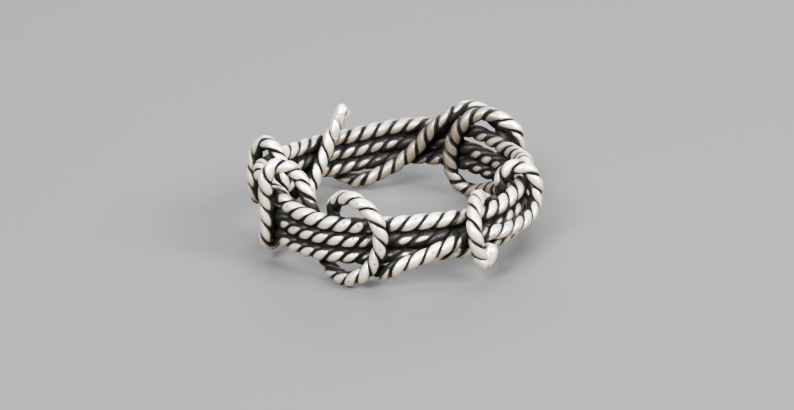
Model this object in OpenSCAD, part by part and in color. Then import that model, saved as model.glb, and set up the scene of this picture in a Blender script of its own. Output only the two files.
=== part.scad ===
// Finger ring of twisted silver rope. Three closed rows of two-wire rope lie one above
// the other; two more lengths of the same rope wind round them in loose hitches and end
// in melted beads. The ring lies on its side: its axis stands along Z through the origin
// and its lowest rope rests on Z = 0. Lengths are in millimetres, angles in degrees.

/* [Ring] */
// clear width of the finger hollow, inside every rope
finger_d = 17.3; // [14:0.1:22]

/* [Rope] */
// thickness of one of the two wires that are twisted into a rope
wire_d = 0.57; // [0.4:0.01:0.8]
// width of one wire, pressed wide by the tight twist, in wire thicknesses
wide_share = 1.25; // [1:0.05:1.3]
// length of one full turn of the twist, in rope thicknesses
lay_share = 2.33; // [2:0.01:4]
// height from one row to the next, in rope thicknesses
row_share = 1.22; // [1.18:0.01:1.5]
// air left between ropes that lie against each other
gap = 0.06; // [0.04:0.01:0.15]

/* [Melted ends] */
// width of the standing bead, in rope thicknesses
bead_share = 1.1; // [1:0.05:1.4]
// width of the curled end, in rope thicknesses
curl_share = 0.9; // [0.8:0.05:1.2]

/* [Facets] */
// steps along one full turn of the twist
lay_steps = 6.5; // [5:0.5:12]
// steps from one route point to the next when a route is smoothed
route_steps = 8; // [4:1:16]
// sides of the melted ends
bead_sides = 12; // [8:2:32]

/* [Hidden] */
rope_d = 2 * wire_d;
lay = lay_share * rope_d;
layer = rope_d + gap;                        // from one layer of rope to the next
row_h = row_share * rope_d;
row_r = finger_d / 2 + layer + rope_d / 2;   // centre line of the rows
silver = [0.80, 0.80, 0.78];

// Every route point is [angle, layer, row]: the angle about the ring (0 right, 90 back,
// 180 left, 270 front), how many layers it lies outside the rows, and its height in rows
// above the middle one. The stretches behind and under the rows are carried on plainly.

// top row: closed, lifted a little at the left where two loops cross it
top_route = [
    [0, 0, 1.3], [8, 0, 1.15], [18, 0, 0.95], [28, 0, 0.87], [36, 0, 0.95], [44, 0, 1.1],
    [54, 0, 1.2], [65, 0, 1.2], [75, 0, 1.2], [84, 0, 1.1], [93, 0, 1], [102, 0, 0.85],
    [112, 0, 0.75], [122, 0, 0.8], [134, 0, 0.85], [146, 0, 1], [158, 0, 1.2], [168, 0, 1.4],
    [177, 0.2, 1.65], [186, 0.3, 1.75], [194, 0.15, 1.6], [202, 0, 1.45], [211, 0, 1.25],
    [220, 0, 1], [230, 0, 0.85], [241, 0, 0.8], [252, 0, 0.85], [264, 0, 0.95], [278, 0, 1],
    [292, 0, 0.93], [305, 0, 0.76], [318, 0, 0.73], [329, 0, 0.9], [341, 0, 1.05], [351, 0, 1.15]
];

// middle row: closed
middle_route = [
    [0, 0, -0.1], [16, 0, -0.2], [30, 0, -0.3], [41, 0, -0.22], [50, 0, -0.06], [64, 0, 0.12],
    [77, 0, 0.1], [88, 0, 0.05], [98, 0, -0.05], [108, 0, -0.15], [122, 0, -0.1], [140, 0, 0],
    [160, 0, 0.15], [180, 0, 0.25], [196, 0, 0.2], [208, 0, 0.05], [222, 0, -0.1], [236, 0, -0.1],
    [250, 0, -0.05], [264, 0, 0.05], [280, 0, 0], [296, 0, -0.05], [310, 0, -0.2], [320, 0, -0.2],
    [332, 0, -0.1], [346, 0, -0.1]
];

// bottom row: closed
bottom_route = [
    [0, 0, -1.1], [16, 0, -1.15], [30, 0, -1.2], [42, 0, -1.14], [52, 0, -1], [64, 0, -0.87],
    [76, 0, -0.85], [88, 0, -0.9], [98, 0, -1], [110, 0, -1.05], [124, 0, -1], [140, 0, -0.95],
    [160, 0, -0.85], [180, 0, -0.8], [196, 0, -0.85], [208, 0, -1], [222, 0, -1.15], [236, 0, -1.1],
    [250, 0, -1], [264, 0, -0.9], [280, 0, -0.95], [296, 0, -1.05], [310, 0, -1.15], [324, 0, -1.1],
    [340, 0, -1.05]
];

// slanting rope: melted end, down the inside at the far left, under the rows, up
// across the inside at the back, over the top and away round the outside
slant_route = [
    [118, -1.1, 2.75], [121.5, -1.1, 1.95], [125, -1.05, 1.35], [128, -1.05, 0.7],
    [132.5, -1.05, -0.05], [137, -1.05, -0.8], [140, -1.05, -1.35], [142, -0.75, -1.9],
    [142, 0, -2.1], [139.5, 0.8, -1.85], [135.5, 1.05, -1.4], [129, 1.05, -1.25], [122, 1.05, -1.3],
    [116.5, 0.95, -1.6], [112.5, 0.5, -1.95], [109, -0.2, -2.05], [105.5, -0.9, -1.82],
    [99.5, -1.05, -1.52], [93, -1.05, -1.2], [86.5, -1.05, -0.75], [81.5, -1.05, -0.2],
    [77, -1.05, 0.3], [73, -1.05, 0.9], [67.5, -0.9, 1.6], [62.5, -0.55, 2.05], [59, -0.1, 2.35],
    [54, 0.35, 2.55], [50.5, 0.65, 2.4], [47.5, 0.95, 2.1], [44.5, 1.1, 1.75], [41.5, 1.1, 1.35],
    [39, 1.1, 0.85], [38, 1.1, 0.3], [39.5, 1.1, -0.2], [44, 1.05, -0.6], [52, 1.05, -0.75],
    [64, 1.05, -0.35], [80, 1.05, 0.3], [96, 1.05, 0.05], [112, 1.05, -0.35], [126, 1.05, -0.35]
];

// looping rope: takes over at the outside of the back, makes one hitch at the far
// left, one at the front left and a loose one at the front, climbs the outside to the
// right, turns over the top, hangs as a loop inside the back right, comes over the top,
// passes under the rows and ends in a last hitch with a curled, melted end
loop_route = [
    [147, 1.05, -0.45], [154, 1.05, -0.85], [160, 1.05, -1.1],
    [165, 1.05, -0.95], [167.5, 1.05, -0.35], [168, 1.1, 0.3], [167.2, 1.1, 1], [166.4, 1, 1.7],
    [167, 0.65, 2.3], [168.6, 0.15, 2.68], [171, -0.38, 2.58], [173.5, -0.8, 2.18],
    [175.2, -1.05, 1.75], [176.5, -1.05, 1.3], [178.5, -1.05, 0.5], [181.5, -1.05, -0.3],
    [186, -1.05, -1], [191.5, -0.95, -1.5], [196, -0.45, -1.75], [200.5, 0.2, -1.8],
    [204.5, 0.8, -1.5], [207, 1.05, -0.95], [208, 1.05, -0.4], [208.5, 1.05, 0.1],
    [208.5, 1.05, 0.6], [208.5, 1.05, 1.4], [209, 1.05, 2.25], [209, 0.95, 2.85], [209, 0.6, 3.2],
    [210, 0.1, 3.3], [211, -0.4, 3.15], [212, -0.85, 2.8], [214, -1.05, 2.45], [217.5, -1.05, 2.1],
    [220, -1.05, 1.6], [222.5, -1.05, 1.05], [224.5, -1.05, 0.4], [227, -1.05, -0.35],
    [229, -1.05, -1.1], [231, -1, -1.75], [235.5, -0.6, -2.1], [242, 0, -2.25], [248.5, 0.6, -2.2],
    [253.5, 0.95, -1.9], [257.5, 1.05, -1.5], [260, 1.05, -1], [262, 1.05, -0.4], [263, 1.05, 0.25],
    [263, 1.05, 0.9], [262, 1.05, 1.45], [260, 0.85, 1.9], [256.5, 0.5, 2.2], [252, 0.1, 2.4],
    [246, -0.35, 2.3], [241, -0.75, 1.9], [237.5, -1.05, 1.35], [237.5, -1.05, 0.6],
    [241.5, -1.05, -0.2], [247.5, -1.05, -0.95], [253, -1, -1.45], [257.5, -0.7, -1.75],
    [261.5, 0, -1.85], [265.5, 0.8, -1.6], [269, 1.05, -1.2], [273.5, 1.05, -0.95],
    [279, 1.05, -0.7], [284.5, 1.05, -0.4], [289.5, 1.05, -0.2], [294.5, 1.05, 0], [301, 1.05, 0],
    [308, 1.05, -0.1], [314.5, 1.05, -0.25], [320.5, 1.05, -0.3], [326.5, 1.05, -0.35],
    [333, 1.05, -0.2], [337.5, 1.05, 0.1], [339.5, 1.05, 0.8], [339.5, 1, 1.45], [339, 0.55, 2.05],
    [338, -0.05, 2.25], [337, -0.5, 2.2], [335.5, -0.95, 1.8], [335, -1.1, 1.3], [335.5, -1.1, 0.8],
    [339, -1.1, 0.4], [345, -1.1, 0.1], [352, -1.05, -0.2], [361, -1.05, -0.5], [371, -1.05, -0.8],
    [380, -1.05, -1.1], [389, -1.05, -1.4], [397, -1.05, -1.8], [404, -1.05, -2.1],
    [410.5, -1.05, -2.15], [415.5, -1.05, -1.95], [419, -1.05, -1.5], [420.5, -1.05, -0.95],
    [420.5, -1.05, -0.2], [419.5, -1.05, 0.55], [416, -1.05, 1.35], [412, -0.9, 2],
    [408, -0.55, 2.4], [403.5, -0.2, 2.55], [399, 0.1, 2.55], [395.5, 0.45, 2.3], [393, 0.85, 1.95],
    [391.5, 1.05, 1.5], [391, 1.05, 0.9], [391, 1.05, 0.3], [390, 1.05, -0.4], [388, 1.05, -1.1],
    [384.5, 0.85, -1.75], [379.5, 0.25, -2.2], [373.5, -0.45, -2.2], [368, -0.95, -1.9],
    [361.5, -1.05, -1.55], [353, -1.05, -1.3], [344, -1.05, -0.9], [336, -1.05, -0.45],
    [329, -1.05, 0], [323.5, -1.05, 0.45], [318.5, -1.05, 0.9], [313, -0.85, 1.32],
    [308.5, -0.3, 1.63], [304, 0.38, 1.66], [300.7, 1, 1.48], [298.5, 1.5, 1.15],
    [297.2, 1.95, 0.8], [297.1, 2.1, 0.3], [297.7, 2.1, -0.3], [299, 2, -0.95], [300.6, 1.9, -1.42]
];

// the two winding ropes meet end to end here, at the outside of the back
join_at = [139, 1.05, -0.35];
join_half = [gap / 2 / (row_r + join_at[1] * layer) * 180 / PI, 0, 0];

// middle line of the curled end, from the last loop point on
curl_route = [[302.9, 1.83, -1.5], [304.5, 1.73, -0.75]];

// the standing bead reaches this share of the way to the next route point
bead_reach = 0.6;

// angle of each rope's first wire where its route starts, from straight outwards
top_start_angle = 45;
middle_start_angle = 135;
bottom_start_angle = 130;
slant_start_angle = 50;
loop_start_angle = 25;

// section of a rope: two wires side by side, the first along X, with a waist between
// them; the wires lie askew in the rope, so the cut makes them wider still
lobe_angle = 72;
waist_share = 0.8;
askew = wide_share * sqrt(1 + (PI * wire_d / lay) ^ 2);
section = [for (s = [1, -1], p = [[2, 0], [1 + cos(lobe_angle), askew * sin(lobe_angle)],
    [0, waist_share], [-1 - cos(lobe_angle), askew * sin(lobe_angle)]]) s * p * wire_d / 2];

function unit(v) = v / norm(v);
function place(p) = let (r = row_r + p[1] * layer) [r * cos(p[0]), r * sin(p[0]), p[2] * row_h];

// a smooth curve through the route points, spaced by the true distance between them
function slope(a, b, c, h, g) = ((c - b) / g * h + (b - a) / h * g) / (h + g);
function bend(a, b, ma, mb, u) = (2 * u ^ 3 - 3 * u ^ 2 + 1) * a + (u ^ 3 - 2 * u ^ 2 + u) * ma
    + (3 * u ^ 2 - 2 * u ^ 3) * b + (u ^ 3 - u ^ 2) * mb;
function extended(route, closed) = let (n = len(route), turn = [360, 0, 0]) closed
    ? concat([route[n - 1] - turn], route, [route[0] + turn, route[1] + turn])
    : concat([2 * route[0] - route[1]], route, [2 * route[n - 1] - route[n - 2]]);
function smooth(route, closed) = let (
    e = extended(route, closed),
    h = [for (i = [1:len(e) - 1]) norm(place(e[i]) - place(e[i - 1]))],
    m = [for (i = [1:len(e) - 2]) slope(e[i - 1], e[i], e[i + 1], h[i - 1], h[i])])
    [for (i = [1:len(e) - 3], k = [0:route_steps - 1])
        place(bend(e[i], e[i + 1], h[i] * m[i - 1], h[i] * m[i], k / route_steps)),
        place(e[len(e) - 2])];

// the same curve cut into n even steps
function travel(p) = [for (i = 0, s = 0; i < len(p);
    s = s + (i + 1 < len(p) ? norm(p[i + 1] - p[i]) : 0), i = i + 1) s];
function even(p, s, n) = let (
    axes = [for (a = [0:2]) [for (i = [0:len(p) - 1]) [s[i], p[i][a]]]])
    [for (k = [0:n]) let (q = s[len(s) - 1] * k / n) [for (a = axes) lookup(q, a)]];

// directions along the curve, and a sideways direction carried along without turning
function along(c, closed) = let (n = len(c) - 1) [for (i = [0:n])
    closed ? unit(c[(i + 1) % n] - c[(i + n - 1) % n])
           : unit(c[min(i + 1, n)] - c[max(i - 1, 0)])];
function carried(t, v0) = [for (i = 0, v = unit(v0 - (v0 * t[0]) * t[0]); i < len(t);
    v = i + 1 < len(t) ? unit(v - (v * t[i + 1]) * t[i + 1]) : v, i = i + 1) v];

// a rope along a route as [points, steps, closed]; start is the angle of its first wire
// there, from straight outwards, and a closed rope twists a whole number of times
function rope(route, closed, start) = let (
    p = smooth(route, closed),
    s = travel(p),
    turns = closed ? round(s[len(s) - 1] / lay) : s[len(s) - 1] / lay,
    n = round(turns * lay_steps),
    c = even(p, s, n),
    t = along(c, closed),
    v = carried(t, [c[0][0], c[0][1], 0]),
    drift = closed ? atan2(cross(v[0], v[n]) * t[0], v[0] * v[n]) : 0)
    [[for (k = [0:closed ? n - 1 : n]) let (a = start - (360 * turns + drift) * k / n,
        w = cross(t[k], v[k]), cv = cos(a) * v[k] + sin(a) * w, cw = cos(a) * w - sin(a) * v[k])
        each [for (q = section) c[k] + q[0] * cv + q[1] * cw]], n, closed];

top_rope = rope(top_route, true, top_start_angle);
middle_rope = rope(middle_route, true, middle_start_angle);
bottom_rope = rope(bottom_route, true, bottom_start_angle);
slant_rope_at = rope(concat(slant_route, [join_at - join_half]), false, slant_start_angle);
loop_rope_at = rope(concat([join_at + join_half], loop_route), false, loop_start_angle);

// the lowest point of all ropes is brought to Z = 0
rest = -min([for (r = [top_rope, middle_rope, bottom_rope, slant_rope_at, loop_rope_at],
    p = r[0]) p[2]]);

module draw(r) {
    m = len(section);
    n = r[1];
    rows = len(r[0]) / m;
    skin = [for (k = [0:n - 1], i = [0:m - 1]) let (
        a = k * m + i, b = k * m + (i + 1) % m,
        d = (k + 1) % rows * m + i, c = (k + 1) % rows * m + (i + 1) % m)
        each [[a, c, b], [a, d, c]]];
    ends = r[2] ? [] : [for (i = [0:m - 1]) let (j = (i + 1) % m, last = n * m)
        each [[rows * m, i, j], [rows * m + 1, last + j, last + i]]];
    centres = r[2] ? [] : [for (k = [0, n]) let (f = k * m) (r[0][f] + r[0][f + m / 2]) / 2];
    polyhedron(points = concat(r[0], centres), faces = concat(skin, ends));
}

module bead(points, d) {
    for (i = [1:len(points) - 1]) hull() for (p = [points[i - 1], points[i]])
        translate(place(p)) sphere(d = d, $fn = bead_sides);
}

module top_row() color(silver) translate([0, 0, rest]) draw(top_rope);

module middle_row() color(silver) translate([0, 0, rest]) draw(middle_rope);

module bottom_row() color(silver) translate([0, 0, rest]) draw(bottom_rope);

module slant_rope() color(silver) translate([0, 0, rest]) {
    draw(slant_rope_at);
    bead([slant_route[0], slant_route[0] + bead_reach * (slant_route[1] - slant_route[0])],
        bead_share * rope_d);
}

module loop_rope() color(silver) translate([0, 0, rest]) {
    draw(loop_rope_at);
    bead(concat([loop_route[len(loop_route) - 1]], curl_route), curl_share * rope_d);
}

top_row();
middle_row();
bottom_row();
slant_rope();
loop_rope();
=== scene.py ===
# Rope twist finger ring in tarnished silver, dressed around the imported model: every rope
# becomes two real round wires twisted about each other. The ring lies on a plain pale floor.
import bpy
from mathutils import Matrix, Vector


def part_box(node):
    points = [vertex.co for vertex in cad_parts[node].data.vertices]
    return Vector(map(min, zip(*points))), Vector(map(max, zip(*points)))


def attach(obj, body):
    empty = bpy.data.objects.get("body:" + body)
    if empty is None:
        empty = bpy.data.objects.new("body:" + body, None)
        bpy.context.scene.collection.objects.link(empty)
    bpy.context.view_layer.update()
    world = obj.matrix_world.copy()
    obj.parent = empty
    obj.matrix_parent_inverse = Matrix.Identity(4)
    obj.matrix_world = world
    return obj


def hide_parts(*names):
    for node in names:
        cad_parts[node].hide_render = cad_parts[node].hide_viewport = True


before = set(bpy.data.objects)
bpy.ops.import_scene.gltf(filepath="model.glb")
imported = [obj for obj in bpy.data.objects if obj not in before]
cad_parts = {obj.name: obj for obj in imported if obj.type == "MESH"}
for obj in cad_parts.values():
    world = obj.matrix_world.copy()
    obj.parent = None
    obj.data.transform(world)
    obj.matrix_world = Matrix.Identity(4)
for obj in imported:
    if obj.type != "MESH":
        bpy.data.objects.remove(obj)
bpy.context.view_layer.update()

import math
import bmesh
import bpy
import numpy as np
from mathutils import Quaternion, Vector
from mathutils.kdtree import KDTree


# Camera: the point of the ring's axis at aimHeight falls on aimPixel
shot = {
    "elevation": 21.64,          # degrees above the floor
    "distance": 0.2605,          # metres from the aimed point to the lens
    "aimHeight": 0.00513,        # metres above the floor, level with the top row
    "roll": -2.31,               # degrees; the ring's right side stands a little higher
    "picture": (794, 410),       # pixels
    "aimPixel": (396.1, 173.7),
    "focalPixels": 3257.5,
    "sensor": 36.0,              # millimetres
    "nearest": 0.01,             # metres, where the camera starts and stops seeing
    "farthest": 10,
}


def makeCamera(shot):
    data = bpy.data.cameras.new("ringCamera")
    camera = bpy.data.objects.new("ringCamera", data)
    bpy.context.scene.collection.objects.link(camera)
    tilt = math.radians(shot["elevation"])
    back = Vector((0, -math.cos(tilt), math.sin(tilt)))
    camera.location = Vector((0, 0, shot["aimHeight"])) + back * shot["distance"]
    roll = Quaternion((0, 0, 1), math.radians(shot["roll"]))
    camera.rotation_mode = "QUATERNION"
    camera.rotation_quaternion = (-back).to_track_quat("-Z", "Y") @ roll
    wide, high = shot["picture"]
    data.sensor_width = shot["sensor"]
    data.lens = shot["focalPixels"] * shot["sensor"] / wide
    data.shift_x = (wide / 2 - shot["aimPixel"][0]) / wide
    data.shift_y = (shot["aimPixel"][1] - high / 2) / wide
    data.clip_start = shot["nearest"]
    data.clip_end = shot["farthest"]
    bpy.context.scene.camera = camera


makeCamera(shot)
print("camera set")


# The rope, in metres; the same in all five lengths
rope = {
    "hollow": 0.0173,            # clear width inside every rope
    "wire": 0.00057,             # one of the two wires
    "gap": 0.00006,              # air between ropes that lie against each other
    "layShare": 2.33,            # length of one full turn of the twist, in rope thicknesses
    "rowShare": 1.22,            # from one row to the next, in rope thicknesses
    "outHalf": 0.00031,          # half a wire's height, straight out from the rope's middle
    "acrossHalf": 0.00042,       # half its width: twisted tight, the wires press each other wide
    "offset": 0.00029,           # from the rope's middle to the middle of a wire
    "squareness": 2.1,           # 2 is an ellipse, more is fuller in the corners
    "rowFullness": 1.07,         # the closed rows' wires are this much larger than the winding rope's
    "sides": 18,                 # round one wire
    "turnSteps": 34,             # along one full turn of the twist
    "routeSteps": 24,            # from one route point to the next
}
thick = 2 * rope["wire"]
layer = thick + rope["gap"]
rowHeight = rope["rowShare"] * thick
rowRadius = rope["hollow"] / 2 + layer + thick / 2
lay = rope["layShare"] * thick

# In the ropes' tables below, angles go about the ring in degrees: 0 right, 90 back, 180 left,
# 270 front. Route points are (angle, layer, row): layers outside the rows, and rows above the
# middle one. Dirt and shade is (angle, share of the tarnish and painted shade that crowded places
# keep, dull painted shade on the inward side, breadth of the grooves' black on the inward side):
# the right end gets less, a painted highlight, and the inside of the back more, painted shade.
backDirtAndShade = [(0, 0.6, 0.03, 1.1), (12, 0.9, 0.06, 1.3), (20, 1.3, 0.1, 1.6), (50, 1.5, 0.12, 1.7),
            (62, 1.7, 0.2, 1.5), (105, 1.7, 0.15, 1.4), (140, 1.3, 0.05, 1.1), (150, 1.1, 0, 1)]
rightDirtAndShade = [(320, 0.9, 0, 1), (335, 0.6, 0, 1), (360, 0.6, 0.03, 1.1)]


# Top row, lifted a little at the left where two hitches cross it
topRow = {
    "node": "top_row",
    "closed": True,
    "start": 45,                 # angle of the first wire, from straight outwards
    "solderedTo": "middle_row",
    "grooveDirt": 1.75,          # breadth of the dirt in the groove between the two wires
    "dirtAndShade": backDirtAndShade + [
        (205, 1.2, 0, 1), (255, 1.2, 0, 1), (270, 0.65, 0, 1), (310, 0.65, 0, 1)
    ] + rightDirtAndShade,
    "route": [
        (0, 0, 1.3), (8, 0, 1.15), (18, 0, 0.95), (28, 0, 0.87), (36, 0, 0.95), (44, 0, 1.1),
        (54, 0, 1.2), (65, 0, 1.2), (75, 0, 1.2), (84, 0, 1.1), (93, 0, 1), (102, 0, 0.85),
        (112, 0, 0.75), (122, 0, 0.8), (134, 0, 0.85), (146, 0, 1), (158, 0, 1.2), (168, 0, 1.4),
        (177, 0.2, 1.65), (186, 0.3, 1.75), (194, 0.15, 1.6), (202, 0, 1.45), (211, 0, 1.25),
        (220, 0, 1), (230, 0, 0.85), (241, 0, 0.8), (252, 0, 0.85), (264, 0, 0.95), (278, 0, 1),
        (292, 0, 0.93), (305, 0, 0.76), (318, 0, 0.73), (329, 0, 0.9), (341, 0, 1.05), (351, 0, 1.15)
    ],
}


# Middle row
middleRow = {
    "node": "middle_row",
    "closed": True,
    "start": 135,                # angle of the first wire, from straight outwards
    "solderedTo": "bottom_row",
    "grooveDirt": 1.75,
    "dirtAndShade": backDirtAndShade + [
        (205, 1.5, 0, 1), (265, 1.5, 0, 1), (274, 1.75, 0, 1), (299, 1.75, 0, 1), (306, 0.8, 0, 1),
        (325, 0.35, 0, 1), (360, 0.35, 0, 1)
    ],
    "route": [
        (0, 0, -0.1), (16, 0, -0.2), (30, 0, -0.3), (41, 0, -0.22), (50, 0, -0.06), (64, 0, 0.12),
        (77, 0, 0.1), (88, 0, 0.05), (98, 0, -0.05), (108, 0, -0.15), (122, 0, -0.1), (140, 0, 0),
        (160, 0, 0.15), (180, 0, 0.25), (196, 0, 0.2), (208, 0, 0.05), (222, 0, -0.1), (236, 0, -0.1),
        (250, 0, -0.05), (264, 0, 0.05), (280, 0, 0), (296, 0, -0.05), (310, 0, -0.2), (320, 0, -0.2),
        (332, 0, -0.1), (346, 0, -0.1)
    ],
}


# Bottom row
bottomRow = {
    "node": "bottom_row",
    "closed": True,
    "start": 130,                # angle of the first wire, from straight outwards
    "grooveDirt": 1.75,
    "dirtAndShade": backDirtAndShade + [
        (205, 1.2, 0, 1), (255, 1.2, 0, 1), (270, 0.75, 0, 1), (310, 0.75, 0, 1)
    ] + rightDirtAndShade,
    "route": [
        (0, 0, -1.1), (16, 0, -1.15), (30, 0, -1.2), (42, 0, -1.14), (52, 0, -1), (64, 0, -0.87),
        (76, 0, -0.85), (88, 0, -0.9), (98, 0, -1), (110, 0, -1.05), (124, 0, -1), (140, 0, -0.95),
        (160, 0, -0.85), (180, 0, -0.8), (196, 0, -0.85), (208, 0, -1), (222, 0, -1.15), (236, 0, -1.1),
        (250, 0, -1), (264, 0, -0.9), (280, 0, -0.95), (296, 0, -1.05), (310, 0, -1.15), (324, 0, -1.1),
        (340, 0, -1.05)
    ],
}


# The two melted ends: the wires run together into a smooth bead, larger than the rope, and
# made of chains of blobs as (angle, layer, row, radius in metres)
standingEnd = {
    "atStart": True,
    "length": 0.0021,            # metres down the rope that the melting reaches
    "smoothSteps": 14,
    "chains": [
        [(120.6, -1.1, 2.2, 0.00045), (119.5, -1.1, 2.5, 0.00054), (117.8, -1.1, 2.88, 0.00053)],
        [(117.2, -1.1, 2.35, 0.00036), (116.4, -1.1, 2.52, 0.00043), (116.1, -1.1, 2.65, 0.00045)],
    ],
    "crease": 0.00012,           # metres, breadth of the crease between the two chains
}
curledEnd = {
    "atStart": False,
    "length": 0.0010,
    "smoothSteps": 20,
    "chains": [[
        (300.6, 1.9, -1.40, 0.00045), (301.8, 1.87, -1.45, 0.00045), (302.8, 1.83, -1.36, 0.00050),
        (303.5, 1.79, -1.15, 0.00059), (304.0, 1.75, -0.96, 0.00062), (304.2, 1.73, -0.88, 0.00061)
    ]],
}


# Winding rope, first half: standing end at the left back, down the inside, under the rows, up
# across the inside of the back, over the top and away round the outside
slantRope = {
    "node": "slant_rope",
    "closed": False,
    "start": 50,                 # angle of the first wire, from straight outwards
    "end": standingEnd,
    "grooveDirt": 1.4,
    "dirtAndShade": [
        (0, 1, 0, 1), (52, 1, 0.1, 1.3), (64, 1, 0.34, 1.9), (98, 1, 0.28, 1.8), (115, 1, 0, 1),
        (360, 1, 0, 1)
    ],
    "route": [
        (118, -1.1, 2.75), (121.5, -1.1, 1.95), (125, -1.05, 1.35), (128, -1.05, 0.7),
        (132.5, -1.05, -0.05), (137, -1.05, -0.8), (140, -1.05, -1.35), (142, -0.75, -1.9),
        (142, 0, -2.1), (139.5, 0.8, -1.85), (135.5, 1.05, -1.4), (129, 1.05, -1.25), (122, 1.05, -1.3),
        (116.5, 0.95, -1.6), (112.5, 0.5, -1.95), (109, -0.2, -2.05), (105.5, -0.9, -1.82),
        (99.5, -1.05, -1.52), (93, -1.05, -1.2), (86.5, -1.05, -0.75), (81.5, -1.05, -0.2),
        (77, -1.05, 0.3), (73, -1.05, 0.9), (67.5, -0.9, 1.6), (62.5, -0.55, 2.05), (59, -0.1, 2.35),
        (54, 0.35, 2.55), (50.5, 0.65, 2.4), (47.5, 0.95, 2.1), (44.5, 1.1, 1.75), (41.5, 1.1, 1.35),
        (39, 1.1, 0.85), (38, 1.1, 0.3), (39.5, 1.1, -0.2), (44, 1.05, -0.6), (52, 1.05, -0.75),
        (64, 1.05, -0.35), (80, 1.05, 0.3), (96, 1.05, 0.05), (112, 1.05, -0.35), (126, 1.05, -0.35),
        (139, 1.05, -0.35)
    ],
}


# Winding rope, second half: hitches at the far left, the front left and the front, a loop
# inside the back right, then the last hitch at the front right with its curled end
loopRope = {
    "node": "loop_rope",
    "closed": False,
    "start": 25,                 # angle of the first wire, from straight outwards
    "end": curledEnd,
    "crumpled": True,
    "grooveDirt": 1.4,
    "dirtAndShade": [
        (0, 1, 0.36, 2.1), (60, 1, 0.36, 2.2), (75, 1, 0, 1), (200, 1.4, 0, 1), (270, 1.3, 0, 1),
        (280, 1, 0, 1), (337, 1, 0, 1), (343, 1, 0.3, 1.6), (360, 1, 0.36, 2.1)
    ],
    "route": [
        (139, 1.05, -0.35), (147, 1.05, -0.45), (154, 1.05, -0.85), (160, 1.05, -1.1),
        (165, 1.05, -0.95), (167.5, 1.05, -0.35), (168, 1.1, 0.3), (167.2, 1.1, 1), (166.4, 1, 1.7),
        (167, 0.65, 2.3), (168.6, 0.15, 2.68), (171, -0.38, 2.58), (173.5, -0.8, 2.18),
        (175.2, -1.05, 1.75), (176.5, -1.05, 1.3), (178.5, -1.05, 0.5), (181.5, -1.05, -0.3),
        (186, -1.05, -1), (191.5, -0.95, -1.5), (196, -0.45, -1.75), (200.5, 0.2, -1.8),
        (204.5, 0.8, -1.5), (207, 1.05, -0.95), (208, 1.05, -0.4), (208.5, 1.05, 0.1),
        (208.5, 1.05, 0.6), (208.5, 1.05, 1.4), (209, 1.05, 2.25), (209, 0.95, 2.85), (209, 0.6, 3.2),
        (210, 0.1, 3.3), (211, -0.4, 3.15), (212, -0.85, 2.8), (214, -1.05, 2.45), (217.5, -1.05, 2.1),
        (220, -1.05, 1.6), (222.5, -1.05, 1.05), (224.5, -1.05, 0.4), (227, -1.05, -0.35),
        (229, -1.05, -1.1), (231, -1, -1.75), (235.5, -0.6, -2.1), (242, 0, -2.25), (248.5, 0.6, -2.2),
        (253.5, 0.95, -1.9), (257.5, 1.05, -1.5), (260, 1.05, -1), (262, 1.05, -0.4), (263, 1.05, 0.25),
        (263, 1.05, 0.9), (262, 1.05, 1.45), (260, 0.85, 1.9), (256.5, 0.5, 2.2), (252, 0.1, 2.4),
        (246, -0.35, 2.3), (241, -0.75, 1.9), (237.5, -1.05, 1.35), (237.5, -1.05, 0.6),
        (241.5, -1.05, -0.2), (247.5, -1.05, -0.95), (253, -1, -1.45), (257.5, -0.7, -1.75),
        (261.5, 0, -1.85), (265.5, 0.8, -1.6), (269, 1.05, -1.2), (273.5, 1.05, -0.95),
        (279, 1.05, -0.7), (284.5, 1.05, -0.4), (289.5, 1.05, -0.2), (294.5, 1.05, 0), (301, 1.05, 0),
        (308, 1.05, -0.1), (314.5, 1.05, -0.25), (320.5, 1.05, -0.3), (326.5, 1.05, -0.35),
        (333, 1.05, -0.2), (337.5, 1.05, 0.1), (339.5, 1.05, 0.8), (339.5, 1, 1.45), (339, 0.55, 2.05),
        (338, -0.05, 2.25), (337, -0.5, 2.2), (335.5, -0.95, 1.8), (335, -1.1, 1.3), (335.5, -1.1, 0.8),
        (339, -1.1, 0.4), (345, -1.1, 0.1), (352, -1.05, -0.2), (361, -1.05, -0.5), (371, -1.05, -0.8),
        (380, -1.05, -1.1), (389, -1.05, -1.4), (397, -1.05, -1.8), (404, -1.05, -2.1),
        (410.5, -1.05, -2.15), (415.5, -1.05, -1.95), (419, -1.05, -1.5), (420.5, -1.05, -0.95),
        (420.5, -1.05, -0.2), (419.5, -1.05, 0.55), (416, -1.05, 1.35), (412, -0.9, 2),
        (408, -0.55, 2.4), (403.5, -0.2, 2.55), (399, 0.1, 2.55), (395.5, 0.45, 2.3), (393, 0.85, 1.95),
        (391.5, 1.05, 1.5), (391, 1.05, 0.9), (391, 1.05, 0.3), (390, 1.05, -0.4), (388, 1.05, -1.1),
        (384.5, 0.85, -1.75), (379.5, 0.25, -2.2), (373.5, -0.45, -2.2), (368, -0.95, -1.9),
        (361.5, -1.05, -1.55), (353, -1.05, -1.3), (344, -1.05, -0.9), (336, -1.05, -0.45),
        (329, -1.05, 0), (323.5, -1.05, 0.45), (318.5, -1.05, 0.9), (313, -0.85, 1.32),
        (308.5, -0.3, 1.63), (304, 0.38, 1.66), (300.7, 1, 1.48), (298.5, 1.5, 1.15),
        (297.2, 1.95, 0.8), (297.1, 2.1, 0.3), (297.7, 2.1, -0.3), (299, 2, -0.95), (300.6, 1.9, -1.42)
    ],
}


def unitRows(rows):
    return rows / np.linalg.norm(rows, axis=1)[:, None]


# Route points to metres, counted from the height of the middle row
def placed(points):
    angle = np.radians(points[:, 0])
    radius = rowRadius + points[:, 1] * layer
    return np.stack([radius * np.cos(angle), radius * np.sin(angle), points[:, 2] * rowHeight], 1)


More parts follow.
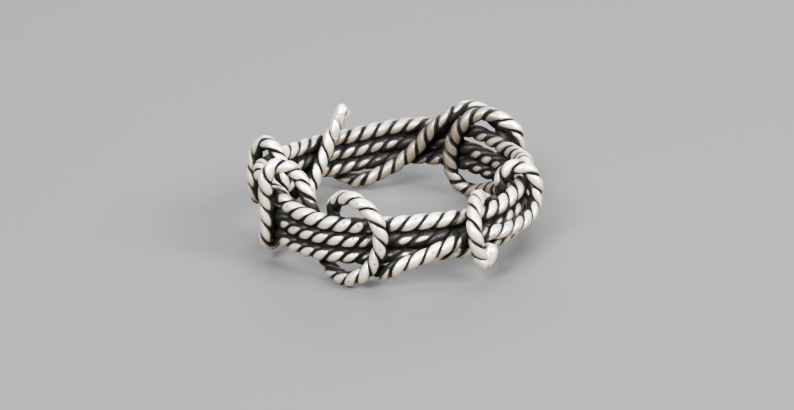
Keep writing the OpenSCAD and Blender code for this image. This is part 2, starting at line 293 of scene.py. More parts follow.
# A smooth curve through the route points, spaced by the true distance between them
def smoothRoute(route, closed):
    turn = np.array([360.0, 0, 0])
    if closed:
        points = np.vstack([route[-1] - turn, route, route[0] + turn, route[1] + turn])
    else:
        points = np.vstack([2 * route[0] - route[1], route, 2 * route[-1] - route[-2]])
    gaps = np.linalg.norm(np.diff(placed(points), axis=0), axis=1)[:, None]
    rises = np.diff(points, axis=0) / gaps
    slopes = (rises[1:] * gaps[:-1] + rises[:-1] * gaps[1:]) / (gaps[:-1] + gaps[1:])
    share = (np.arange(rope["routeSteps"]) / rope["routeSteps"])[:, None]
    bends = []
    for i in range(1, len(points) - 2):
        bends.append((2 * share ** 3 - 3 * share ** 2 + 1) * points[i]
                     + (share ** 3 - 2 * share ** 2 + share) * gaps[i] * slopes[i - 1]
                     + (3 * share ** 2 - 2 * share ** 3) * points[i + 1]
                     + (share ** 3 - share ** 2) * gaps[i] * slopes[i])
    return placed(np.vstack(bends + [points[-2:-1]]))


# Middle line of a rope in even steps, with the outward direction of its first wire there
def ropeLine(piece):
    closed = piece["closed"]
    curve = smoothRoute(np.array(piece["route"], float), closed)
    travel = np.concatenate([[0], np.cumsum(np.linalg.norm(np.diff(curve, axis=0), axis=1))])
    turns = travel[-1] / lay
    if closed:
        turns = round(turns)
    steps = round(turns * rope["turnSteps"])
    along = np.linspace(0, travel[-1], steps + 1)
    middle = np.stack([np.interp(along, travel, curve[:, axis]) for axis in range(3)], 1)
    if closed:
        heading = unitRows(np.roll(middle[:-1], -1, 0) - np.roll(middle[:-1], 1, 0))
        heading = np.vstack([heading, heading[:1]])
    else:
        heading = unitRows(np.gradient(middle, axis=0))
    side = middle[0] * (1, 1, 0)
    sides = []
    for ahead in heading:
        side = side - side.dot(ahead) * ahead
        side = side / np.linalg.norm(side)
        sides.append(side)
    sides = np.array(sides)
    drift = 0.0
    if closed:
        drift = math.atan2(np.cross(sides[0], sides[-1]).dot(heading[0]), sides[0].dot(sides[-1]))
    angle = math.radians(piece["start"]) - (2 * math.pi * turns + drift) * np.arange(steps + 1) / steps
    outward = np.cos(angle)[:, None] * sides + np.sin(angle)[:, None] * np.cross(heading, sides)
    fullness = rope["rowFullness"] if closed else 1.0
    return {"middle": middle, "outward": outward, "along": along, "closed": closed, "fullness": fullness}


# Hand-drawn wire is never quite even: (share of its size, waves in one lay, shift)
wireUnevenness = [(0.012, 0.37, 0.4), (0.010, 0.83, 2.1), (0.008, 1.9, 4.0)]


# Skin of one wire from ring first to ring last; way is 1 for the first wire and -1 for the other
def wireSkin(line, way, first, last):
    middle = line["middle"]
    centre = middle + way * rope["offset"] * line["fullness"] * line["outward"]
    if line["closed"]:
        ahead = unitRows(np.roll(centre[:-1], -1, 0) - np.roll(centre[:-1], 1, 0))
        ahead = np.vstack([ahead, ahead[:1]])
    else:
        ahead = unitRows(np.gradient(centre, axis=0))
    up = way * line["outward"]
    up = unitRows(up - (up * ahead).sum(1)[:, None] * ahead)
    across = np.cross(ahead, up)
    angle = 2 * math.pi * np.arange(rope["sides"]) / rope["sides"]
    power = 2 / rope["squareness"]
    rise = line["fullness"] * rope["outHalf"] * np.sign(np.cos(angle)) * np.abs(np.cos(angle)) ** power
    spread = line["fullness"] * rope["acrossHalf"] * np.sign(np.sin(angle)) * np.abs(np.sin(angle)) ** power
    rows = np.arange(first, last + 1)
    section = rise[None, :, None] * up[rows][:, None] + spread[None, :, None] * across[rows][:, None]
    phase = 2 * math.pi * line["along"][rows] / line["along"][-1]
    uneven = sum(size * np.sin(phase * round(beat * line["along"][-1] / lay) + shift + way)
                 for size, beat, shift in wireUnevenness)
    points = centre[rows][:, None] + (1 + uneven)[:, None, None] * section
    return points.reshape(-1, 3)


def skinFaces(rings, sides, closed, offset):
    ring = np.arange(rings if closed else rings - 1)[:, None]
    side = np.arange(sides)[None, :]
    nextRing = (ring + 1) % rings
    nextSide = (side + 1) % sides
    corners = [ring * sides + side, ring * sides + nextSide,
               nextRing * sides + nextSide, nextRing * sides + side]
    return (np.stack([corner.reshape(-1) for corner in corners], 1) + offset).tolist()


def capFaces(rings, sides, offset):
    first = list(range(offset + sides - 1, offset - 1, -1))
    last = list(range(offset + (rings - 1) * sides, offset + rings * sides))
    return [first, last]


# Points and faces of both wires between two rings
def twistedWires(line, first, last):
    points, faces, count = [], [], 0
    for way in (1, -1):
        skin = wireSkin(line, way, first, last)
        rings = len(skin) // rope["sides"]
        faces += skinFaces(rings, rope["sides"], line["closed"], count)
        if not line["closed"]:
            faces += capFaces(rings, rope["sides"], count)
        points.append(skin)
        count += len(skin)
    return np.vstack(points), faces


def newMesh(name, points, faces):
    mesh = bpy.data.meshes.new(name)
    mesh.from_pydata(points.tolist(), [], faces)
    mesh.update()
    return mesh


# How both melted ends are made
melting = {
    "voxel": 0.000045,           # metres
    "blobSteps": 6,              # from one blob of a chain to the next
    "blobFineness": 3,
    "crispShare": 0.225,         # share of the melted length where the twist stays crisp
    "fadeShare": 0.55,           # share of it over which the twist then fades
    "fadePower": 1.2,
    "shrink": 0.62,              # smoothing steps shrink and swell in turn, to keep the size
    "swell": -0.60,
    "overlap": 2,                # rings of plain wire inside the melted skin
    "creaseDirt": 0.34,
}


# Fuses the wires' last stretch with its chains of blobs, and gives points, faces and edges
def fusedSkin(points, faces, chains):
    body = bmesh.new()
    mesh = newMesh("melting", points, faces)
    body.from_mesh(mesh)
    for chain in chains:
        blobs = np.array(chain)
        blobAt = placed(blobs)
        share = np.linspace(0, len(blobs) - 1, (len(blobs) - 1) * melting["blobSteps"] + 1)
        spots = [np.interp(share, range(len(blobs)), blobAt[:, axis]) for axis in range(3)]
        for spot, radius in zip(zip(*spots), np.interp(share, range(len(blobs)), blobs[:, 3])):
            made = bmesh.ops.create_icosphere(body, subdivisions=melting["blobFineness"], radius=radius)
            bmesh.ops.translate(body, verts=made["verts"], vec=spot)
    body.to_mesh(mesh)
    body.free()
    holder = bpy.data.objects.new("melting", mesh)
    bpy.context.scene.collection.objects.link(holder)
    remesh = holder.modifiers.new("fuse", "REMESH")
    remesh.mode = "VOXEL"
    remesh.voxel_size = melting["voxel"]
    fused = holder.evaluated_get(bpy.context.evaluated_depsgraph_get()).to_mesh()
    points = np.empty(len(fused.vertices) * 3)
    fused.vertices.foreach_get("co", points)
    faces = [list(face.vertices) for face in fused.polygons]
    edges = np.empty(len(fused.edges) * 2, int)
    fused.edges.foreach_get("vertices", edges)
    bpy.data.objects.remove(holder)
    bpy.data.meshes.remove(mesh)
    return points.reshape(-1, 3), faces, edges.reshape(-1, 2)


# Melted skin of one end, with the rings where it starts and stops and a mask of its crease; the
# twist fades towards the tip
def meltedSkin(line, end):
    count = len(line["middle"]) - 1
    reach = round(end["length"] / line["along"][-1] * count)
    first, last = (0, reach) if end["atStart"] else (count - reach, count)
    points, faces, edges = fusedSkin(*twistedWires(line, first, last), end["chains"])
    stretch = line["middle"][first:last + 1]
    fromTip = line["along"][first:last + 1] / end["length"]
    fromTip = fromTip if end["atStart"] else (line["along"][-1] / end["length"] - fromTip)
    nearest = np.argmin(np.linalg.norm(points[:, None] - stretch[None], axis=2), axis=1)
    melt = np.clip((1 - fromTip[nearest] - melting["crispShare"]) / melting["fadeShare"], 0, 1)
    weight = (melt ** melting["fadePower"])[:, None]
    degree = np.bincount(edges.reshape(-1), minlength=len(points))[:, None]
    for step in range(end["smoothSteps"]):
        total = np.zeros_like(points)
        np.add.at(total, edges[:, 0], points[edges[:, 1]])
        np.add.at(total, edges[:, 1], points[edges[:, 0]])
        push = melting["shrink"] if step % 2 == 0 else melting["swell"]
        points = points + push * weight * (total / degree - points)
    crease = np.zeros(len(points))
    if "crease" in end:
        apart = [np.linalg.norm(points[:, None] - placed(np.array(chain))[None], axis=2).min(1)
                 for chain in end["chains"]]
        crease = np.clip(1 - np.abs(apart[0] - apart[1]) / end["crease"], 0, 1)
    return points, faces, first, last, crease


# Solder that has run in between two closed rows, wherever they lie close enough to hold it
solder = {
    "widestHold": 0.00162,       # metres between the rows' middles, where solder still bridges them
    "halfHeight": 0.00038,
    "halfDepth": 0.00016,
    "sides": 8,
    "steps": 360,                # around the ring
    "start": 45,                 # degrees; the two upper rows stand apart there
    "dirtAndShade": 1,                   # black all over
}


# Distance from the ring's axis and height of a closed row at the given angles
def rowAt(line, angles):
    middle = line["middle"][:-1]
    around = np.arctan2(middle[:, 1], middle[:, 0]) % (2 * math.pi)
    order = np.argsort(around)
    radius = np.hypot(middle[:, 0], middle[:, 1])
    return [np.interp(angles % (2 * math.pi), around[order], values[order], period=2 * math.pi)
            for values in (radius, middle[:, 2])]


def solderSkin(upper, lower):
    angles = math.radians(solder["start"]) + 2 * math.pi * np.arange(solder["steps"]) / solder["steps"]
    upperRadius, upperHeight = rowAt(upper, angles)
    lowerRadius, lowerHeight = rowAt(lower, angles)
    radius = (upperRadius + lowerRadius) / 2
    height = (upperHeight + lowerHeight) / 2
    held = np.hypot(upperRadius - lowerRadius, upperHeight - lowerHeight) < solder["widestHold"]
    closed = bool(held.all())
    turn = 2 * math.pi * np.arange(solder["sides"]) / solder["sides"]
    out = radius[:, None] + solder["halfDepth"] * np.cos(turn)
    up = height[:, None] + solder["halfHeight"] * np.sin(turn)
    rings = np.stack([out * np.cos(angles[:, None]), out * np.sin(angles[:, None]), up], 2)
    changes = np.nonzero(np.diff(held.astype(int)))[0] + 1
    points, faces, count = [], [], 0
    for run in np.split(np.arange(len(angles)), changes):
        if not held[run[0]] or len(run) < 2:
            continue
        faces += skinFaces(len(run), solder["sides"], closed, count)
        if not closed:
            faces += capFaces(len(run), solder["sides"], count)
        points.append(rings[run].reshape(-1, 3))
        count += len(points[-1])
    return np.vstack(points), faces


# How much of a point's outlook near ropes fill, taking each short piece of rope as a disc; the
# finish darkens what this fills, painted shade between ropes together with their tarnish
outlook = {
    "reach": 2.1,                # millimetres
    "nearest": 0.4,              # millimetres, so that touching ropes don't count without limit
    "discLength": 0.0005,        # metres of rope for one disc
    "ownReach": 0.0018,          # metres of the point's own rope that are left out
    "crossingShare": 0.5,        # what a winding rope counts where it crosses a row
    "batch": 6000,               # points at a time
}


def crowding(points, normals, lines, own, ownAlong):
    filled = np.zeros(len(points), np.float32)
    for name, line in lines.items():
        total = line["along"][-1]
        count = max(8, round(total / outlook["discLength"]))
        spots = np.linspace(0, total, count, endpoint=False) + total / count / 2
        discs = np.stack([np.interp(spots, line["along"], line["middle"][:, axis]) for axis in range(3)], 1)
        discs = (discs * 1000).astype(np.float32)
        size = thick * 1000 * (total / count * 1000)
        for start in range(0, len(points), outlook["batch"]):
            part = slice(start, start + outlook["batch"])
            here = (points[part] * 1000).astype(np.float32)
            facing = normals[part].astype(np.float32)
            apart = (here ** 2).sum(1)[:, None] + (discs ** 2).sum(1)[None] - 2 * here @ discs.T
            apart = np.maximum(apart, outlook["nearest"] ** 2)
            toward = facing @ discs.T - (facing * here).sum(1)[:, None]
            share = np.maximum(toward, 0) / apart ** 1.5 * (size / math.pi)
            share[apart > outlook["reach"] ** 2] = 0
            if name == own:
                away = np.abs(spots[None] - ownAlong[part][:, None])
                if line["closed"]:
                    away = np.minimum(away, total - away)
                share[away < outlook["ownReach"]] = 0
            crossing = lines[own]["closed"] and not line["closed"]
            filled[part] += share.sum(1) * (outlook["crossingShare"] if crossing else 1)
    return np.clip(filled, 0, 1)


# A small pit near the middle of many of the lobes that face away from the finger
pits = {
    "seed": 7,
    "kept": 0.55,                # share of the lobes that have one
    "rise": 14.0,                # degrees above straight outward
    "facing": 0.9,               # how squarely a lobe faces that way, 1 at most
    "strayAlong": 0.25,          # millimetres
    "strayAround": 0.10,
    "skinRadius": 0.36,          # millimetres, of the wire's broad side
    "none": 9.0,                 # distance given where there is no pit near
}


# Millimetres along and around the wire from each point of its skin to the nearest pit
def pitOffsets(line, first, last):
    chance = np.random.default_rng(pits["seed"])
    middle, along = line["middle"], line["along"] * 1000
    rise = math.radians(pits["rise"])
    toward = unitRows(middle * (1, 1, 0)) * math.cos(rise) + np.array([0, 0, math.sin(rise)])
    turn = 2 * math.pi * np.arange(rope["sides"]) / rope["sides"]
    turn = (turn + math.pi) % (2 * math.pi) - math.pi
    offsets = []
    for way in (1, -1):
        faces = (way * line["outward"] * toward).sum(1)
        highest = (faces[1:-1] > faces[:-2]) & (faces[1:-1] >= faces[2:])
        crests = np.nonzero(highest & (faces[1:-1] > pits["facing"]))[0] + 1
        spots = along[crests] + pits["strayAlong"] * chance.uniform(-1, 1, len(crests))
        shifts = pits["strayAround"] * chance.uniform(-1, 1, len(crests))
        kept = chance.uniform(0, 1, len(crests)) < pits["kept"]
        rows = along[first:last + 1]
        nearest = np.argmin(np.abs(rows[:, None] - spots[None]), axis=1)
        field = np.zeros((len(rows), rope["sides"], 3))
        field[:, :, 0] = (rows - spots[nearest])[:, None]
        field[:, :, 1] = turn[None] * pits["skinRadius"] - shifts[nearest][:, None]
        field[~kept[nearest]] = pits["none"]
        offsets.append(field.reshape(-1, 3))
    return np.vstack(offsets)


# The wires are crumpled at one spot, on top of the last hitch
crumple = {
    "spot": (310.5, -0.5, 1.6),  # a route point
    "reach": 0.0009,             # metres
    "firmness": 1.6,             # more keeps the full height farther out
    "height": 0.00016,           # metres
    "beat": 0.00042,             # metres from one bump to the next
    "wander": 1.3,               # how far the bumps leave their rows
    "wanderBeat": 0.6,
    "slant": 0.8,
}


def crumpled(points, normals):
    apart = np.linalg.norm(points - placed(np.array([crumple["spot"]])), axis=1)
    weight = np.clip(crumple["firmness"] * (1 - apart / crumple["reach"]), 0, 1)
    phase = points * 2 * math.pi / crumple["beat"]
    first = np.sin(phase[:, 0] + crumple["wander"] * np.sin(phase[:, 1] * crumple["wanderBeat"]))
    bumps = first * np.sin(phase[:, 2] + phase[:, 1] * crumple["slant"])
    return points + normals * (crumple["height"] * weight * bumps)[:, None]


def nearestStep(points, middle):
    tree = KDTree(len(middle))
    for i, spot in enumerate(middle):
        tree.insert(spot, i)
    tree.balance()
    return np.array([tree.find(point)[1] for point in points])


# Joins (points, faces, finish) parts in one set; the finish is given for each face
def joined(parts):
    allPoints, allFaces, finishes, count = [], [], [], 0
    for points, faces, finish in parts:
        allPoints.append(points)
        allFaces += [[corner + count for corner in face] for face in faces]
        finishes += [finish] * len(faces)
        count += len(points)
    return np.vstack(allPoints), allFaces, finishes


# One rope as one mesh, with the masks that its finish needs kept on the points
def buildRope(piece, line, lines):
    rings = len(line["middle"])
    first, last = (0, rings - 2) if line["closed"] else (0, rings - 1)
    end = piece.get("end")
    parts = []
    if end:
        melted, meltedFaces, cutFirst, cutLast, crease = meltedSkin(line, end)
        parts.append((melted, meltedFaces, 1))
        if end["atStart"]:
            first = cutLast - melting["overlap"]
        else:
            last = cutFirst + melting["overlap"]
    parts.insert(0, (*twistedWires(line, first, last), 0))
    wireCount = sum(len(part[0]) for part in parts)
    if "solderedTo" in piece:
        parts.append((*solderSkin(line, lines[piece["solderedTo"]]), 0))
    points, faces, finishes = joined(parts)
    lift = (0, 0, restHeight)
    mesh = newMesh(piece["node"] + "_wires", points + lift, faces)
    mesh.polygons.foreach_set("use_smooth", [True] * len(faces))
    mesh.polygons.foreach_set("material_index", finishes)
    normals = np.empty(len(points) * 3)
    mesh.vertices.foreach_get("normal", normals)
    normals = normals.reshape(-1, 3)
    if piece.get("crumpled"):
        points = crumpled(points, normals)
        mesh.vertices.foreach_set("co", (points + lift).reshape(-1))
        mesh.update()

    nearest = nearestStep(points, line["middle"])
    fromMiddle = np.linalg.norm(points - line["middle"][nearest], axis=1)
    groove = np.clip(1 - fromMiddle / (rope["offset"] + rope["outHalf"]) / line["fullness"], 0, 1)
    # Crowding darkens the skin between ropes: painted shade, together with the tarnish there
    crowd = crowding(points, normals, lines, piece["node"], line["along"][nearest])
    around = np.degrees(np.arctan2(points[:, 1], points[:, 0])) % 360
    inward = np.hypot(points[:, 0], points[:, 1]) < rowRadius
    # The dirt and shade tables paint shade: darker inside the back, brighter at the right end, and a dull
    # painted shade on the inward side
    places, shares, insideShades, breadths = np.array(piece["dirtAndShade"], float).T
    crowd = crowd * np.interp(around, places, shares)
    film = inward * np.interp(around, places, insideShades)
    groove *= piece["grooveDirt"] * np.where(inward, np.interp(around, places, breadths), 1)
    if end:
        groove[-len(crease):] += melting["creaseDirt"] * crease
    groove[wireCount:] = solder["dirtAndShade"]
    for name, values in (("groove", groove), ("crowding", crowd), ("film", film)):
        mesh.attributes.new(name, "FLOAT", "POINT").data.foreach_set("value", values.astype(np.float32))
    fromPit = np.full((len(points), 3), pits["none"])
    ringed = pitOffsets(line, first, last)
    fromPit[:len(ringed)] = ringed
    mesh.attributes.new("fromPit", "FLOAT_VECTOR", "POINT").data.foreach_set(
        "vector", fromPit.astype(np.float32).reshape(-1))
    made = bpy.data.objects.new(piece["node"] + "_wires", mesh)
    bpy.context.scene.collection.objects.link(made)
    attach(made, "root")
    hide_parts(piece["node"])
    return made


ropes = [topRow, middleRow, bottomRow, slantRope, loopRope]
lines = {piece["node"]: ropeLine(piece) for piece in ropes}
# Routes count heights from the middle row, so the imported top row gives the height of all
topLine = lines["top_row"]
topSkin = np.vstack([wireSkin(topLine, way, 0, len(topLine["middle"]) - 2) for way in (1, -1)])
packedHeight = sum(corner.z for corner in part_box("top_row")) / 2
restHeight = packedHeight - (topSkin[:, 2].min() + topSkin[:, 2].max()) / 2
print("rest height", round(restHeight * 1000, 3), "mm")
pieces = {piece["node"]: buildRope(piece, lines[piece["node"]], lines) for piece in ropes}
for name, made in pieces.items():
    print(name, len(made.data.polygons), "faces")


# Shared effects as node groups, each placed in the materials with its own values
def newGroup(name, inputs, outputs):
    group = bpy.data.node_groups.new(name, "ShaderNodeTree")
    for socketName, kind, value in inputs:
        socket = group.interface.new_socket(socketName, in_out="INPUT", socket_type=kind)
        if value is not None:
            socket.default_value = value
    for socketName, kind in outputs:
        group.interface.new_socket(socketName, in_out="OUTPUT", socket_type=kind)
    return group, group.nodes.new("NodeGroupInput").outputs, group.nodes.new("NodeGroupOutput").inputs


# feeds: socket name, or place as "in0", to a value or another node's socket
def addNode(tree, kind, settings, feeds):
    node = tree.nodes.new(kind)
    for key, value in settings.items():
        setattr(node, key, value)
    for key, value in feeds.items():
        socket = node.inputs[int(key[2:])] if key[2:].isdigit() else node.inputs[key]
        if isinstance(value, bpy.types.NodeSocket):
            tree.links.new(value, socket)
        else:
            socket.default_value = value
    return node


def combine(tree, operation, first, second):
    feeds = {"in0": first, "in1": second}
    return addNode(tree, "ShaderNodeMath", {"operation": operation}, feeds).outputs[0]


def fade(tree, value, low, high):
    return addNode(tree, "ShaderNodeMapRange", {"interpolation_type": "SMOOTHSTEP"},
                   {"Value": value, "From Min": low, "From Max": high}).outputs["Result"]


# grain: scale, detail and roughness
def noise(tree, where, grain):
    return addNode(tree, "ShaderNodeTexNoise", {}, {"Vector": where, "Scale": grain[0], "Detail": grain[1],
                                                    "Roughness": grain[2]}).outputs["Fac"]


def mixColors(tree, share, first, second):
    return addNode(tree, "ShaderNodeMix", {"data_type": "RGBA"},
                   {"in0": share, "in6": first, "in7": second}).outputs[2]


def mixNumbers(tree, share, first, second):
    return addNode(tree, "ShaderNodeMix", {"data_type": "FLOAT"},
                   {"in0": share, "in2": first, "in3": second}).outputs[0]


# Black silver sulphide left where a polishing cloth can't reach, deepened by painted shade
# between ropes and inside the back; the dull band beside it, partly painted shade down the
# lobes' sides; and a tan tone on the undersides, a painted reflection and shade
tarnishAndShadeGrain = {
    "broad": (650.0, 3.0, 0.6),
    "broadShare": 0.65,
    "fine": (5200.0, 2.0, 0.6),
    "fineShare": 0.35,
    "paintedUnderside": (0.7, -0.4),        # upward facing where the painted underside tone starts, and where it is full
    "paintedUndersideBare": 0.65,           # painted underside tone away from the dull band
    "paintedUndersideNear": 0.35,           # and what the dull band adds
}


def makeTarnishAndShadeGroup(grain):
    tree, given, out = newGroup("tarnishAndPaintedShade", [
        ("Where", "NodeSocketVector", None), ("Facing", "NodeSocketVector", None),
        ("Groove", "NodeSocketFloat", 0.0), ("Crowding", "NodeSocketFloat", 0.0),
        ("Film", "NodeSocketFloat", 0.0),
        ("Groove Level", "NodeSocketFloat", 0.5), ("Crowding Share", "NodeSocketFloat", 0.6),
        ("Ragged", "NodeSocketFloat", 0.2), ("Softness", "NodeSocketFloat", 0.1),
        ("Dull Width", "NodeSocketFloat", 0.2)],
        [("Black", "NodeSocketFloat"), ("Dull", "NodeSocketFloat"), ("Painted Underside", "NodeSocketFloat")])
    broad = combine(tree, "MULTIPLY", noise(tree, given["Where"], grain["broad"]), grain["broadShare"])
    fine = combine(tree, "MULTIPLY", noise(tree, given["Where"], grain["fine"]), grain["fineShare"])
    centred = combine(tree, "SUBTRACT", combine(tree, "ADD", broad, fine), 0.5)
    ragged = combine(tree, "MULTIPLY", centred, given["Ragged"])
    crowd = combine(tree, "MULTIPLY", given["Crowding"], given["Crowding Share"])
    total = combine(tree, "ADD", combine(tree, "ADD", given["Groove"], crowd), ragged)
    low = combine(tree, "SUBTRACT", given["Groove Level"], given["Softness"])
    high = combine(tree, "ADD", given["Groove Level"], given["Softness"])
    tree.links.new(fade(tree, total, low, high), out["Black"])
    # The dull band is painted shade down the lobes' sides and on the inward side, with a haze of tarnish
    totalWithShade = combine(tree, "ADD", total, given["Film"])
    near = fade(tree, totalWithShade, combine(tree, "SUBTRACT", given["Groove Level"], given["Dull Width"]), high)
    tree.links.new(near, out["Dull"])
    # The tan tone is a painted reflection and shade on the undersides, full where the skin faces down
    height = addNode(tree, "ShaderNodeSeparateXYZ", {}, {"Vector": given["Facing"]}).outputs["Z"]
    under = fade(tree, height, *grain["paintedUnderside"])
    partly = combine(tree, "ADD", combine(tree, "MULTIPLY", near, grain["paintedUndersideNear"]), grain["paintedUndersideBare"])
    tree.links.new(combine(tree, "MULTIPLY", partly, under), out["Painted Underside"])
    return tree


# Small dents all over, random pinholes, and the one small pit near a lobe's middle
pitGrain = {
    "cells": 1500.0,
    "bare": 0.7,                 # share of the cells without a pinhole
    "pinholeEdge": 0.5,          # share of a pinhole's size that is fully dark
    "rim": (9000.0, 1.0, 0.5),
    "rimEdge": 0.45,
    "dents": (2600.0, 3.0, 0.55),
}


def makePitGroup(grain):
    tree, given, out = newGroup("dentsAndPits", [
        ("Where", "NodeSocketVector", None), ("From Pit", "NodeSocketVector", None),
        ("Pit Radius", "NodeSocketFloat", 0.06), ("Pinhole Size", "NodeSocketFloat", 0.16),
        ("Dent Depth", "NodeSocketFloat", 0.5)],
        [("Height", "NodeSocketFloat"), ("Holes", "NodeSocketFloat")])
    cells = addNode(tree, "ShaderNodeTexVoronoi", {"feature": "F1"},
                    {"Vector": given["Where"], "Scale": grain["cells"], "Randomness": 1.0})
    chosen = addNode(tree, "ShaderNodeSeparateColor", {}, {"Color": cells.outputs["Color"]}).outputs[0]
    some = combine(tree, "GREATER_THAN", chosen, grain["bare"])
    size = combine(tree, "MULTIPLY", given["Pinhole Size"], chosen)
    far = fade(tree, cells.outputs["Distance"], combine(tree, "MULTIPLY", size, grain["pinholeEdge"]), size)
    pinholes = combine(tree, "MULTIPLY", combine(tree, "SUBTRACT", 1.0, far), some)
    uneven = noise(tree, given["Where"], grain["rim"])
    apart = addNode(tree, "ShaderNodeVectorMath", {"operation": "LENGTH"}, {"in0": given["From Pit"]})
    rim = combine(tree, "MULTIPLY", given["Pit Radius"], combine(tree, "ADD", uneven, 0.5))
    away = fade(tree, apart.outputs["Value"], combine(tree, "MULTIPLY", rim, grain["rimEdge"]), rim)
    holes = combine(tree, "MAXIMUM", pinholes, combine(tree, "SUBTRACT", 1.0, away))
    tree.links.new(holes, out["Holes"])
    dents = combine(tree, "MULTIPLY", noise(tree, given["Where"], grain["dents"]), given["Dent Depth"])
    tree.links.new(combine(tree, "SUBTRACT", dents, holes), out["Height"])
    return tree


# Rub marks along the wires and faint warm clouds of worn silver
rubGrain = {
    "clouds": (500.0, 3.0, 0.55),
    "cloudEdges": (0.35, 0.7),
    "drawn": (1.0, 1.0, 7.0),    # stretch of the rub marks
    "marks": (3400.0, 3.0, 0.65),
    "markEdges": (0.3, 0.7),
}


def makeRubGroup(grain):
    tree, given, out = newGroup("rubbedSilver", [
        ("Where", "NodeSocketVector", None), ("Bright", "NodeSocketColor", (0.9, 0.9, 0.88, 1)),
        ("Warm", "NodeSocketColor", (0.85, 0.8, 0.7, 1)), ("Warm Share", "NodeSocketFloat", 0.3),
        ("Smooth", "NodeSocketFloat", 0.2), ("Rough", "NodeSocketFloat", 0.35)],
        [("Color", "NodeSocketColor"), ("Roughness", "NodeSocketFloat")])
    cloud = fade(tree, noise(tree, given["Where"], grain["clouds"]), *grain["cloudEdges"])
    share = combine(tree, "MULTIPLY", cloud, given["Warm Share"])
    tree.links.new(mixColors(tree, share, given["Bright"], given["Warm"]), out["Color"])
    drawn = addNode(tree, "ShaderNodeMapping", {}, {"Vector": given["Where"], "Scale": grain["drawn"]})
    low, high = grain["markEdges"]
    rough = addNode(tree, "ShaderNodeMapRange", {}, {
        "Value": noise(tree, drawn.outputs[0], grain["marks"]), "From Min": low, "From Max": high,
        "To Min": given["Smooth"], "To Max": given["Rough"]})
    tree.links.new(rough.outputs["Result"], out["Roughness"])
    return tree


groups = {
    "tarnishAndShade": makeTarnishAndShadeGroup(tarnishAndShadeGrain),
    "pits": makePitGroup(pitGrain),
    "rub": makeRubGroup(rubGrain),
}
print("node groups made")

twistedSilver = {
    "bright": (0.98, 0.952, 0.91, 1), "warm": (0.93, 0.85, 0.74, 1), "warmShare": 0.55,
    # The dull colour and its band are painted shade down the lobes' sides, with a haze of tarnish
    "black": (0.006, 0.0058, 0.0055, 1), "dull": (0.15, 0.122, 0.092, 1), "hazeAndShadeShare": 0.85,
    # The tan underside colour is a painted reflection and shade
    "paintedUnderside": (0.41, 0.29, 0.155, 1), "paintedUndersideShare": 1.0,
    "grooveLevel": 0.22,         # less lets the black spread farther
    "crowdingShare": 1.2, "ragged": 0.20, "softness": 0.05, "dullWidth": 0.24,
    "smooth": 0.34, "rough": 0.52, "metal": 0.82, "tarnishMetal": 0.3, "tarnishRoughness": 0.5,
    "sheen": 0.15,
    "pit": 0.11,                 # millimetres
    "pinholes": 0.12, "holeDark": 0.85, "dents": 0.5,
    "relief": 0.000026,          # metres
}
meltedSilver = dict(twistedSilver, grooveLevel=0.36, smooth=0.28, rough=0.42, pinholes=0.16, dents=0.8)


def silver(name, look):
    material = bpy.data.materials.new(name)
    material.use_nodes = True
    tree = material.node_tree
    shader = tree.nodes["Principled BSDF"].inputs
    coordinates = addNode(tree, "ShaderNodeTexCoord", {}, {}).outputs
    where = coordinates["Object"]
    kept = {}
    for attribute in ("groove", "crowding", "film", "fromPit"):
        kept[attribute] = addNode(tree, "ShaderNodeAttribute", {"attribute_name": attribute}, {}).outputs
    tarnishAndShade = addNode(tree, "ShaderNodeGroup", {"node_tree": groups["tarnishAndShade"]}, {
        "Where": where, "Facing": coordinates["Normal"], "Groove": kept["groove"]["Fac"],
        "Crowding": kept["crowding"]["Fac"], "Film": kept["film"]["Fac"],
        "Groove Level": look["grooveLevel"], "Crowding Share": look["crowdingShare"],
        "Ragged": look["ragged"], "Softness": look["softness"], "Dull Width": look["dullWidth"]}).outputs
    holes = addNode(tree, "ShaderNodeGroup", {"node_tree": groups["pits"]}, {
        "Where": where, "From Pit": kept["fromPit"]["Vector"], "Pit Radius": look["pit"],
        "Pinhole Size": look["pinholes"], "Dent Depth": look["dents"]}).outputs
    rub = addNode(tree, "ShaderNodeGroup", {"node_tree": groups["rub"]}, {
        "Where": where, "Bright": look["bright"], "Warm": look["warm"], "Warm Share": look["warmShare"],
        "Smooth": look["smooth"], "Rough": look["rough"]}).outputs
    # Tan painted reflection and shade on the undersides
    paintedUndersideShare = combine(tree, "MULTIPLY", tarnishAndShade["Painted Underside"], look["paintedUndersideShare"])
    # Dull band: painted shade with a haze of tarnish
    hazeAndShadeShare = combine(tree, "MULTIPLY", tarnishAndShade["Dull"], look["hazeAndShadeShare"])
    withPaintedUnderside = mixColors(tree, paintedUndersideShare, rub["Color"], look["paintedUnderside"])
    color = mixColors(tree, hazeAndShadeShare, withPaintedUnderside, look["dull"])
    holeDark = combine(tree, "MULTIPLY", holes["Holes"], look["holeDark"])
    dark = combine(tree, "MAXIMUM", tarnishAndShade["Black"], holeDark)
    tree.links.new(mixColors(tree, dark, color, look["black"]), shader["Base Color"])
    tree.links.new(mixNumbers(tree, dark, look["metal"], look["tarnishMetal"]), shader["Metallic"])
    tree.links.new(mixNumbers(tree, dark, rub["Roughness"], look["tarnishRoughness"]), shader["Roughness"])
    bump = addNode(tree, "ShaderNodeBump", {}, {"Strength": 1.0, "Distance": look["relief"],
                                                "Height": holes["Height"]})
    tree.links.new(bump.outputs[0], shader["Normal"])
    shader["Specular IOR Level"].default_value = look["sheen"]
    return material


# The first finish is for the wires and the solder, the second for the melted ends
finishes = [silver("twistedSilver", twistedSilver), silver("meltedSilver", meltedSilver)]
for made in pieces.values():
    for finish in finishes:
        made.data.materials.append(finish)
print("silver laid on")


# Plain pale floor, faintly clouded
floorLook = {
    "size": 3.0,                 # metres
    "pale": (0.067, 0.069, 0.073, 1),
    "deep": (0.061, 0.063, 0.067, 1),
    "roughness": 0.6,
    "clouds": (4.0, 2.0, 0.5),
    "cloudEdges": (0.3, 0.7),
}


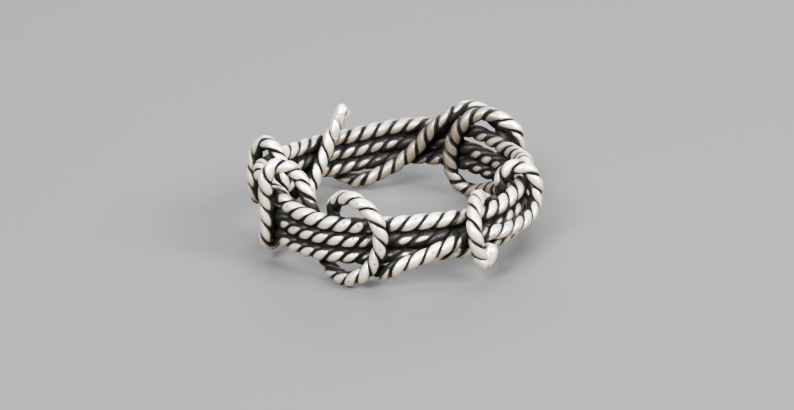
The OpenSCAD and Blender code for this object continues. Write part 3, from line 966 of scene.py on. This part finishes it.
def makeFloor(look):
    half = look["size"] / 2
    corners = np.array([(-half, -half, 0), (half, -half, 0), (half, half, 0), (-half, half, 0)])
    mesh = newMesh("floor", corners, [(0, 1, 2, 3)])
    floor = bpy.data.objects.new("floor", mesh)
    bpy.context.scene.collection.objects.link(floor)
    material = bpy.data.materials.new("palePaper")
    material.use_nodes = True
    tree = material.node_tree
    shader = tree.nodes["Principled BSDF"].inputs
    shader["Roughness"].default_value = look["roughness"]
    where = addNode(tree, "ShaderNodeTexCoord", {}, {}).outputs["Object"]
    cloud = fade(tree, noise(tree, where, look["clouds"]), *look["cloudEdges"])
    tree.links.new(mixColors(tree, cloud, look["pale"], look["deep"]), shader["Base Color"])
    mesh.materials.append(material)


makeFloor(floorLook)


# Soft studio light: (name, place, width, height, watts, colour), each aimed at the ring
softLights = [
    ("keyRight", (0.34, -0.22, 0.28), 0.20, 0.18, 13.2, (1.0, 0.965, 0.925)),
    ("front", (-0.16, -0.32, 0.32), 0.20, 0.16, 12.2, (1.0, 0.975, 0.945)),
    ("overhead", (0.0, 0.10, 0.45), 0.40, 0.30, 4.2, (0.98, 0.98, 1.0)),
    ("behind", (0.05, 0.42, 0.22), 0.40, 0.16, 1.2, (1.0, 1.0, 1.0)),
]
lightAim = (0, 0, 0.004)
room = {"color": (0.44, 0.44, 0.45, 1), "strength": 0.2}


def makeLights(rows, aim):
    for name, place, wide, high, watts, color in rows:
        data = bpy.data.lights.new(name, "AREA")
        data.shape = "RECTANGLE"
        data.size = wide
        data.size_y = high
        data.energy = watts
        data.color = color
        light = bpy.data.objects.new(name, data)
        bpy.context.scene.collection.objects.link(light)
        light.location = place
        light.rotation_mode = "QUATERNION"
        light.rotation_quaternion = (Vector(aim) - Vector(place)).to_track_quat("-Z", "Y")


def makeRoom(look):
    world = bpy.data.worlds.new("softRoom")
    world.use_nodes = True
    background = world.node_tree.nodes["Background"].inputs
    background["Color"].default_value = look["color"]
    background["Strength"].default_value = look["strength"]
    bpy.context.scene.world = world


makeLights(softLights, lightAim)
makeRoom(room)
print("floor and lights set")
